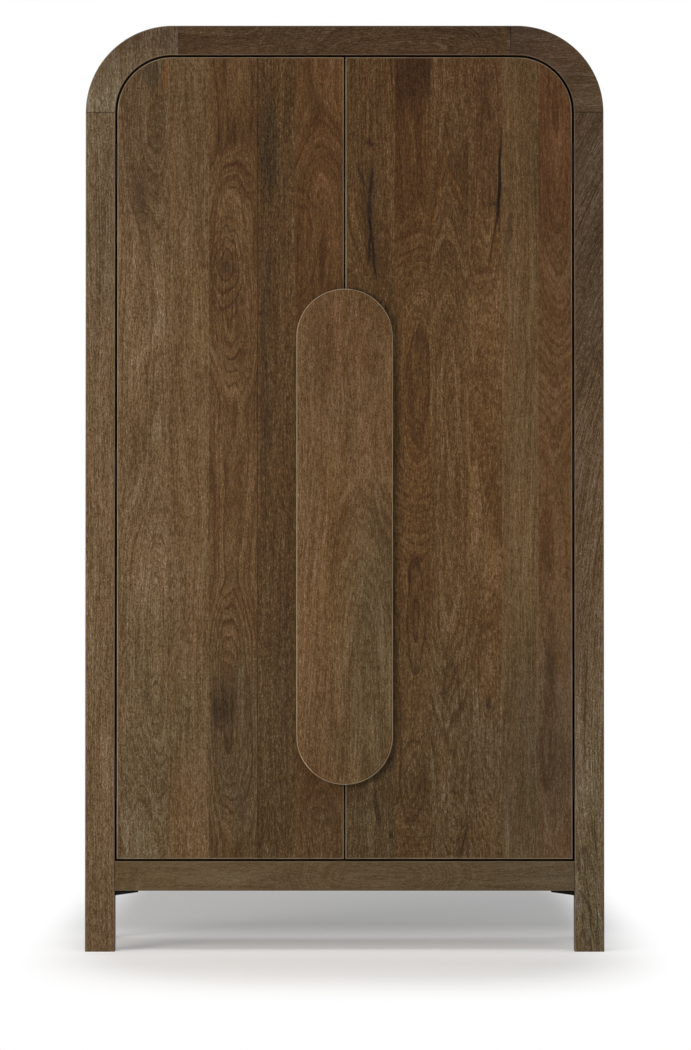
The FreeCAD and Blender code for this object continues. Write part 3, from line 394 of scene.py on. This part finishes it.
side_low, side_high = mm_box("right_side_panel")
side_wood = glued_panel("stained mango, sides", "yxz", side_low[1], side_high[1], 4, 3)
dress(side_wood, "left_side_panel", "right_side_panel", "left_shoulder_panel", "right_shoulder_panel", ease=0.5)
top_wood = glued_panel("stained mango, top", "yzx", side_low[1], side_high[1], 4, 5)
dress(top_wood, "top_panel", ease=0.5)
rear_post_wood = glued_panel("stained mango, rear posts", "xyz", -post_high[0], post_high[0], 8, 8)
dress(rear_post_wood, "left_rear_post", "right_rear_post", "left_rear_corner", "right_rear_corner", ease=0.6)
rear_rail_wood = glued_panel("stained mango, rear rails", "zyx", 0.0, post_high[2], 9, 13)
dress(rear_rail_wood, "rear_top_rail", "rear_apron", ease=0.6)
back_wood = glued_panel("mango veneer, back panel", "xyz", -side_high[0], side_high[0], 5, 21)
dress(back_wood, "back_panel")


# Doors
# Two panels of edge-glued boards of uneven width, each with one rounded top corner and eased front edges.
# Mango sorted for figure: arches on the flat-sawn boards, plain fibre on the others, a check and a few knots.
left_low, left_high = mm_box("left_door_panel")
right_low, right_high = mm_box("right_door_panel")
left_edges = [left_low[0], -331, -253, -162, -93, left_high[0]]
left_boards = [
    board("#5e492f", pith=68, crest=560, wave=1100, rise=46, lines=0.30, spacing=5.5),
    board("#5c462b", pith=300, crest=900, wave=2000, rise=20, lines=0.14, lively=0.88),
    board("#523a1f", pith=207, crest=1261, wave=806, rise=36, lines=0.62, spacing=6.5),
    board("#493319", pith=440, crest=900, wave=1800, rise=20, lines=0.16, lively=1.15),
    board("#503519", pith=386, crest=1250, wave=1150, rise=70, lines=0.26, spacing=7.5),
]
# Casts of the marks: how each changes the red, green and blue of the wood
CHECK = (0.15, 0.13, 0.12)
CRACK = (0.34, 0.30, 0.29)
KNOT = (0.52, 0.46, 0.40)
GREY = (0.68, 0.73, 0.80)
UMBER = (0.74, 0.71, 0.68)
SHADE = (0.82, 0.80, 0.79)
BROWN = (0.55, 0.48, 0.41)
RUST = (1.45, 0.95, 0.60)
PALE = (1.55, 1.48, 1.38)
ROSY = (1.05, 0.98, 0.91)
RUSSET = (0.83, 0.74, 0.61)
SLATE = (0.86, 0.94, 1.04)
ASHEN = (1.09, 1.21, 1.44)
WARM = (0.93, 0.87, 0.81)
DUSK = (0.90, 0.90, 0.91)
TOBACCO = (0.66, 0.61, 0.56)
SIENNA = (0.90, 0.81, 0.71)
left_marks = [
    (-378, 1500, 60, 230, 0.0, UMBER), (-362, 1639, 22, 40, 0.0, GREY), (-333, 1628, 4, 34, 0.1, RUST),
    (-139, 1494, 22, 95, 0.0, GREY), (-148, 1140, 13, 280, 0.0, UMBER), (-231, 1508, 8, 32, 0.0, UMBER),
    (-228, 455, 26, 60, 0.0, UMBER), (-234, 450, 16, 26, 0.0, UMBER), (-56, 1579, 12, 42, 0.0, UMBER),
    (-219, 1270, 15, 32, 0.0, UMBER), (-45, 215, 60, 70, 0.0, ASHEN), (-207, 400, 60, 190, 0.0, SLATE),
    (-292, 1530, 60, 200, 0.0, DUSK), (-292, 230, 70, 140, 0.0, ROSY), (-383, 1400, 16, 60, 0.0, UMBER),
    (-350, 500, 4, 6, 0.0, KNOT),
]
# The left door's cast drifts with the stain; its lightness drift is painted light, brightest across the middle
left_cast_and_shade = [(300, (0.95, 1.03, 1.08)), (900, (1.05, 1.05, 1.01)), (1600, (0.99, 0.97, 0.92))]
left_eyes = [
    (-219, 1270, 34, 88, 4.5, KNOT), (-88, 1320, 52, 120, 3.6, UMBER), (-48, 215, 42, 90, 3.5, UMBER),
    (-351, 462, 22, 52, 3.0, UMBER), (-233, 452, 26, 40, 2.5, UMBER),
]
DARK_JOINT = ("x", left_edges[3], 0.8)
# Eased door edges: a paler band of wear together with a painted highlight along the rounded rim
DOOR_RIM_WEAR_AND_HIGHLIGHT = "#93836c"
left_door = stained_mango("stained mango, left door", "xyz", left_edges, left_boards, DOOR_RIM_WEAR_AND_HIGHLIGHT,
                          [DARK_JOINT], left_marks, cast_and_shade=left_cast_and_shade, eyes=left_eyes)
right_edges = [right_low[0], 93, 159, 229, 293, 360, right_high[0]]
right_boards = [
    board("#4f371b", pith=46, crest=1580, wave=1400, rise=44, lines=0.36, spacing=5.5, lively=1.15),
    board("#53381b", pith=136, crest=1056, wave=1100, rise=170, lines=0.26, spacing=13.0),
    board("#543b1f", pith=198, crest=906, wave=1900, rise=52, lines=0.34, spacing=6.0, lively=1.2),
    board("#5c4124", pith=262, crest=470, wave=1000, rise=30, lines=0.24),
    board("#5d462a", pith=520, crest=700, wave=2400, rise=20, lines=0.12, lively=0.88),
    board("#5c4026", pith=392, crest=1640, wave=2400, rise=130, lines=0.34, spacing=7.0, lively=0.7),
]
right_marks = [
    (48, 1428, 3.2, 40, 0.05, CRACK), (47, 1378, 5.0, 34, 0.0, CRACK), (47, 1345, 3.2, 24, -0.06, CRACK),
    (44, 1308, 2.6, 26, 0.06, CRACK), (52, 1308, 2.6, 26, -0.06, CRACK), (54, 1272, 2.6, 22, -0.18, CRACK),
    (31, 1443, 3.0, 34, -0.45, BROWN), (44, 1507, 7.0, 13, 0.0, KNOT), (56, 1502, 9.0, 4, 0.0, KNOT),
    (47, 1385, 16, 95, 0.0, UMBER), (126, 1480, 60, 210, 0.0, RUSSET), (262, 1520, 50, 150, 0.0, UMBER),
    (392, 1500, 60, 190, 0.0, SIENNA), (392, 420, 60, 190, 0.0, SLATE), (327, 390, 50, 190, 0.0, SHADE),
    (262, 390, 50, 120, 0.0, SLATE), (47, 215, 60, 70, 0.0, ASHEN), (49, 1568, 9.0, 40, 0.87, SHADE),
    (62, 1604, 8.0, 34, 0.90, SHADE), (34, 1536, 8.0, 34, 0.90, SHADE), (126, 1645, 260, 82, 0.0, BROWN),
    (203, 1432, 3.2, 47, -0.42, PALE), (175, 1402, 3.2, 80, 0.16, PALE), (197, 1498, 3.2, 30, 0.42, PALE),
    (287, 1434, 3.4, 100, 0.06, CHECK), (275, 1318, 2.8, 48, 0.20, BROWN), (275, 1391, 9.0, 4.5, 0.0, KNOT),
    (305, 1335, 7.0, 45, 0.10, GREY), (266, 462, 7, 13, 0.0, KNOT), (268, 462, 24, 60, 0.0, ROSY),
    (58, 268, 5, 40, -0.12, KNOT), (85, 218, 4, 8, 0.0, KNOT),
]
# The right door's cast drifts with the stain; its lightness drift is painted light, brightest across the middle
right_cast_and_shade = [(300, (0.86, 0.98, 1.12)), (900, (1.06, 1.10, 1.08)), (1600, (0.89, 0.87, 0.85))]
right_eyes = [
    (138, 1056, 46, 235, 1.4, TOBACCO), (361, 200, 48, 460, 4.6, SHADE), (132, 620, 24, 150, 2.0, KNOT),
    (199, 455, 24, 125, 2.0, TOBACCO), (126, 320, 30, 95, 2.8, TOBACCO), (203, 240, 28, 66, 2.6, TOBACCO),
]
right_door = stained_mango("stained mango, right door", "xyz", right_edges, right_boards, DOOR_RIM_WEAR_AND_HIGHLIGHT,
                           marks=right_marks, cast_and_shade=right_cast_and_shade, eyes=right_eyes)
dress(left_door, "left_door_panel")
dress(right_door, "right_door_panel")
batten_wood = glued_panel("stained mango, battens", "zyx", 0.0, post_high[2], 12, 34)
dress(batten_wood, "left_door_battens", "right_door_battens", ease=0.8)


# Pull plate
# One long plate with round ends, screwed to the right door from behind and lapping over the left door.
# A single board of paler mango, its rounded rim painted with a pale band: wear and a painted highlight.
OLIVE = (0.82, 0.96, 1.02)
OCHRE = (1.12, 1.08, 0.98)
pull_low, pull_high = mm_box("pull_plate")
# The pale rim tone, on narrow slopes of the rounded rim, is a painted highlight together with wear
pull_wood = stained_mango(
    "stained mango, pull plate", "xyz", (pull_low[0], pull_high[0]),
    [board("#5d4428", pith=130, crest=420, wave=1500, rise=50, lines=0.12)], "#a89a80",
    marks=[(48, 520, 75, 330, 0.0, OLIVE), (-18, 720, 34, 260, 0.0, OCHRE), (0, 1150, 120, 110, 0.0, WARM)],
    rim_slopes=(0.86, 0.80, 0.60, 0.42))
dress(pull_wood, "pull_plate")


# Shelves, divider, bottle grid and stemware rails
# Inside the case: the floor, fixed and loose shelves, a divider, half-lapped grid boards and hanging rails.
# Plain stained mango boards with lightly eased edges, on cleats screwed to the sides.
INNER_STAINS = ("#6a543c", "#624c35", "#5d4832", "#6f5a41")
shelf_wood = glued_panel("stained mango, shelves", "yzx", side_low[1], side_high[1], 4, 41, INNER_STAINS)
dress(shelf_wood, "floor_panel", "serving_shelf", "upper_shelf", "bay_shelf", "adjustable_shelf",
      "bottle_grid_levels", ease=0.8)
upright_wood = glued_panel("stained mango, uprights", "yxz", side_low[1], side_high[1], 4, 47, INNER_STAINS)
dress(upright_wood, "divider", "bottle_grid_uprights", ease=0.8)
rail_wood = glued_panel("stained mango, stemware rails", "xzy", -side_high[0], side_high[0], 14, 55,
                        INNER_STAINS)
dress(rail_wood, "stemware_webs", "stemware_flanges", "shelf_cleats", ease=0.5)


# Dowels
# Beech pegs glued across the seams of both frames, out of sight once the frame is closed.
# Pale close-grained beech, turned and left bare.
beech = stained_mango("bare beech, dowels", "zyx", (0.0, post_high[2] * 2),
                      [board("#b98f62", pith=30, crest=10, wave=400, rise=10, lines=0.08)])
dress(beech, "frame_dowels")


# Hinges and leg braces
# Slim butt hinges sunk in the gap beside each door, and short tapered braces under the apron.
# Steel with a matt black powder coat, whose fine grit breaks up the reflection.
GRIT_SHADE = 0.2
GRIT_GLOSS = 0.08


def hard_skin(name, tone, metallic, rough, grit, shine=0.5):
    """A painted, plated or moulded skin; its lightness and gloss change a little over grit of a size in mm."""
    material = bpy.data.materials.new(name)
    material.use_nodes = True
    tree = material.node_tree
    tree.nodes.clear()
    place = add(tree, "TexCoord").node
    scaled = add(tree, "VectorMath", {0: place.outputs["Object"], "Scale": 1 / (grit * MM)}, operation="SCALE")
    speck = add(tree, "TexNoise", {"Vector": scaled, "Scale": 1.0, "Detail": 3})
    shade = add(tree, "MapRange",
                {0: speck, 1: NOISE_LOW, 2: NOISE_HIGH, 3: 1 - GRIT_SHADE, 4: 1 + GRIT_SHADE})
    colour = add(tree, "VectorMath", {0: linear(tone), "Scale": shade}, operation="SCALE")
    gloss = add(tree, "MapRange",
                {0: speck, 1: NOISE_LOW, 2: NOISE_HIGH, 3: rough + GRIT_GLOSS, 4: rough - GRIT_GLOSS})
    bump = add(tree, "Bump", {"Strength": 0.15, "Distance": 0.1 * MM, "Height": speck})
    surface = add(tree, "BsdfPrincipled",
                  {"Base Color": colour, "Metallic": metallic, "Roughness": gloss, "Normal": bump,
                   "Specular IOR Level": shine})
    add(tree, "OutputMaterial", {"Surface": surface})
    return material


black_steel = hard_skin("black powder-coated steel", "#0d0c0b", 0.0, 0.75, 0.6, 0.15)
dress(black_steel, "case_hinge_leaves", "left_door_hinge_leaves", "right_door_hinge_leaves", "hinge_pins",
      "left_leg_brace", "right_leg_brace", "case_hinge_screws", "left_door_hinge_screws",
      "right_door_hinge_screws", "leg_brace_screws")


# Screws, shelf pins, strike plates and magnets
# Flat-head wood screws, plain shelf pins, block magnets, and the strike plate that each door brings to one.
# Zinc-plated steel: pale grey, a little cloudy.
zinc = hard_skin("zinc-plated steel", "#b4b6b5", 1.0, 0.34, 1.8)
dress(zinc, "back_panel_screws", "cleat_screws", "catch_screws", "stemware_screws", "left_batten_screws",
      "right_batten_screws", "left_strike_screws", "right_strike_screws", "pull_screws", "shelf_pins",
      "left_strike", "right_strike", "catch_magnets")


# Catch housings
# Two moulded bodies screwed under the serving shelf, each with a magnet bonded to its front.
# Brown polypropylene with a fine spark-eroded skin.
moulded = hard_skin("brown moulded polypropylene", "#3a2a1e", 0.0, 0.5, 0.9)
dress(moulded, "catch_housings", ease=0.6)


# Floor and studio light
# A wide sheet of matt white paper that fades to a white surround, a big soft key from the left, a fill from
# the right, a high softbox in front, and two weak lamps for the side and the back.
FLOOR_REACH = 9.0
PATCH_CENTRE = 0.9
PATCH_HALF_WIDTH, PATCH_HALF_DEPTH = 0.62, 2.4
FADE_START, FADE_END = 0.70, 1.0
FRONT_GLOW, UNDER_GLOW, BACK_GLOW = 0.05, 0.21, 0.0
GLOW_RISE, GLOW_FALL = (-0.6, -0.1), (0.1, 0.7)
TOOTH_PER_METRE = 900.0
PAPER_LOW, PAPER_HIGH = 0.93, 0.97
WHITE = (1, 1, 1, 1)
corners = np.array([(-1, -1, 0), (1, -1, 0), (1, 1, 0), (-1, 1, 0)]) * FLOOR_REACH
floor_mesh = bpy.data.meshes.new("floor")
floor_mesh.from_pydata(corners.tolist(), [], [(0, 1, 2, 3)])
floor = bpy.data.objects.new("floor", floor_mesh)
bpy.context.scene.collection.objects.link(floor)
paper = bpy.data.materials.new("matt white studio paper")
paper.use_nodes = True
tree = paper.node_tree
tree.nodes.clear()
place = add(tree, "TexCoord").node
# The paper keeps its shadows in a patch with rounded corners, and fades to white around it
away = add(tree, "VectorMath", {0: place.outputs["Object"], 1: (0.0, PATCH_CENTRE, 0.0)}, operation="SUBTRACT")
patch = (1 / PATCH_HALF_WIDTH, 1 / PATCH_HALF_DEPTH, 0.0)
away = add(tree, "VectorMath", {0: away, 1: patch}, operation="MULTIPLY")
away = add(tree, "VectorMath", {0: away, 1: away}, operation="MULTIPLY")
away = add(tree, "VectorMath", {0: away}, operation="LENGTH").node.outputs["Value"]
away = add(tree, "Math", {0: away}, operation="SQRT")
fade = add(tree, "MapRange", {0: away, 1: FADE_START, 2: FADE_END}, interpolation_type="SMOOTHSTEP")
tooth = add(tree, "TexNoise", {"Vector": place.outputs["Object"], "Scale": TOOTH_PER_METRE, "Detail": 2})
grain = add(tree, "MapRange", {0: tooth, 3: PAPER_LOW, 4: PAPER_HIGH})
grey = add(tree, "CombineColor", {0: grain, 1: grain, 2: grain})
matt = add(tree, "BsdfDiffuse", {"Color": grey})
seen_by = add(tree, "LightPath").node.outputs
white = add(tree, "Emission", {"Color": WHITE, "Strength": 1.0})
shown = add(tree, "Math", {0: fade, 1: seen_by["Is Camera Ray"]}, operation="MULTIPLY")
# Under the case the camera sees a faint glow, as of light that bounces there
back = add(tree, "SeparateXYZ", {0: place.outputs["Object"]}).node.outputs["Y"]
lift = add(tree, "MapRange", {0: back, 1: GLOW_RISE[0], 2: GLOW_RISE[1], 3: FRONT_GLOW, 4: UNDER_GLOW},
           interpolation_type="SMOOTHSTEP")
dull = add(tree, "MapRange", {0: back, 1: GLOW_FALL[0], 2: GLOW_FALL[1], 3: 1.0, 4: BACK_GLOW / UNDER_GLOW},
           interpolation_type="SMOOTHSTEP")
lift = add(tree, "Math", {0: lift, 1: dull}, operation="MULTIPLY")
lift = add(tree, "Math", {0: lift, 1: seen_by["Is Camera Ray"]}, operation="MULTIPLY")
glow = add(tree, "Emission", {"Color": WHITE, "Strength": lift})
matt = add(tree, "AddShader", {0: matt, 1: glow})
mixed = add(tree, "MixShader", {0: shown, 1: matt, 2: white})
add(tree, "OutputMaterial", {"Surface": mixed})
floor_mesh.materials.append(paper)

# The surround is white to the camera and in reflections of what lies behind; as a light it is dimmer
ROOM_LIGHT = 0.40
world = bpy.data.worlds.new("studio")
bpy.context.scene.world = world
world.use_nodes = True
tree = world.node_tree
tree.nodes.clear()
seen_by = add(tree, "LightPath").node.outputs
mirrored = add(tree, "Math", {0: seen_by["Is Glossy Ray"], 1: seen_by["Is Transmission Ray"]},
               operation="MAXIMUM")
toward = add(tree, "SeparateXYZ", {0: add(tree, "TexCoord").node.outputs["Generated"]}).node.outputs["Y"]
behind = add(tree, "MapRange", {0: toward, 1: -0.3, 2: 0.4})
mirrored = add(tree, "Math", {0: mirrored, 1: behind}, operation="MULTIPLY")
shown = add(tree, "Math", {0: seen_by["Is Camera Ray"], 1: mirrored}, operation="MAXIMUM")
strength = add(tree, "MapRange", {0: shown, 3: ROOM_LIGHT, 4: 1.0})
sky = add(tree, "Background", {"Color": WHITE, "Strength": strength})
add(tree, "OutputWorld", {"Surface": sky})


def softbox(name, where, target, size, watts, spread=180, tone="#ffffff"):
    """A square area lamp at a place, turned to face a target, both in metres; its grid lets light out within
    the spread, in degrees."""
    lamp = bpy.data.lights.new(name, "AREA")
    lamp.spread = math.radians(spread)
    lamp.color = linear(tone)
    lamp.size = size
    lamp.energy = watts
    holder = bpy.data.objects.new(name, lamp)
    ahead = np.array(target) - np.array(where)
    ahead = ahead / np.linalg.norm(ahead)
    flat = math.hypot(ahead[0], ahead[1])
    holder.location = where
    holder.rotation_euler = (math.atan2(flat, -ahead[2]), 0, math.atan2(-ahead[0], ahead[1]))
    bpy.context.scene.collection.objects.link(holder)


MIDDLE = (0.0, -0.2, 0.85)
softbox("key from the left", (-1.8, -2.9, 1.05), (0.0, -0.2, 1.0), 1.4, 57, tone="#fff6ea")
softbox("fill from the right", (2.6, -4.8, 1.2), MIDDLE, 2.6, 21)
softbox("high front", (0.0, -3.2, 4.6), (0.0, -0.8, 0.0), 2.2, 10, 75)
softbox("side from the right", (5.0, 0.6, 1.3), (0.48, 0.1, 1.05), 1.4, 3.0, 40)
softbox("back from the left", (-1.6, 5.0, 1.3), (0.0, 0.23, 1.05), 1.4, 3.5, 40)


# Camera
# The photograph is a frontal view from far off, a little below the middle, tilted up by a degree.
# A pixel measures 1.86 mm at the doors; the sensor is in millimetres too, and the places are in metres.
IMAGE_HEIGHT = 1050
MM_PER_PIXEL = 1.860
DISTANCE = 9.2
EYE_HEIGHT = 0.60
AIM_X = 0.0016
TILT = math.radians(1.2)
SENSOR = 36.0
camera_data = bpy.data.cameras.new("camera")
camera_data.sensor_fit = "VERTICAL"
camera_data.sensor_height = SENSOR
camera_data.lens = SENSOR * DISTANCE / (IMAGE_HEIGHT * MM_PER_PIXEL * MM)
camera = bpy.data.objects.new("camera", camera_data)
camera.location = (AIM_X, left_low[1] * MM - DISTANCE, EYE_HEIGHT)
camera.rotation_euler = (math.pi / 2 + TILT, 0, 0)
bpy.context.scene.collection.objects.link(camera)
bpy.context.scene.camera = camera
bpy.context.scene.view_settings.view_transform = "Standard"
